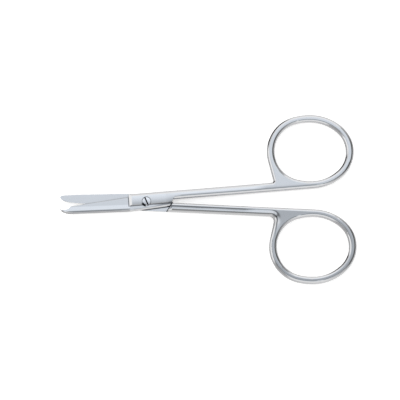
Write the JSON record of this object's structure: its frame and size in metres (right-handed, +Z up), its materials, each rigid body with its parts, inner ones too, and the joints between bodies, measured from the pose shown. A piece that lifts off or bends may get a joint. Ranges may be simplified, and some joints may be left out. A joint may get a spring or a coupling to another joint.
{
  "type": "suture scissors",
  "caption": "Small straight suture scissors with two finger rings, a slotted pivot screw, a blunt blade and a blade whose tip has a crescent notch that lifts a stitch.",
  "frame": {"origin": "on the pivot axis, at the flat underside that the scissors lie on", "axes": "+Z up along the pivot axis towards the screw's head, tips towards -X, finger rings towards +X, the hooked half's ring on the +Y side, X midway between the halves as they lie"},
  "size_m": [0.0904, 0.0526, 0.0029],
  "materials": {
    "polished_steel": "fine satin polish",
    "screw_steel": "turned and polished"
  },
  "bodies": {
    "plain_half": {"plain_blade_half": "polished_steel", "pivot_screw": "screw_steel"},
    "hook_half": {"hook_blade_half": "polished_steel"}
  },
  "joints": [
    {"name": "blade_pivot", "type": "hinge", "parent": "plain_half", "child": "hook_half", "pos_m": [0, 0, 0.00145], "axis": [0, 0, 1], "range_deg": [-7, 83]}
  ]
}
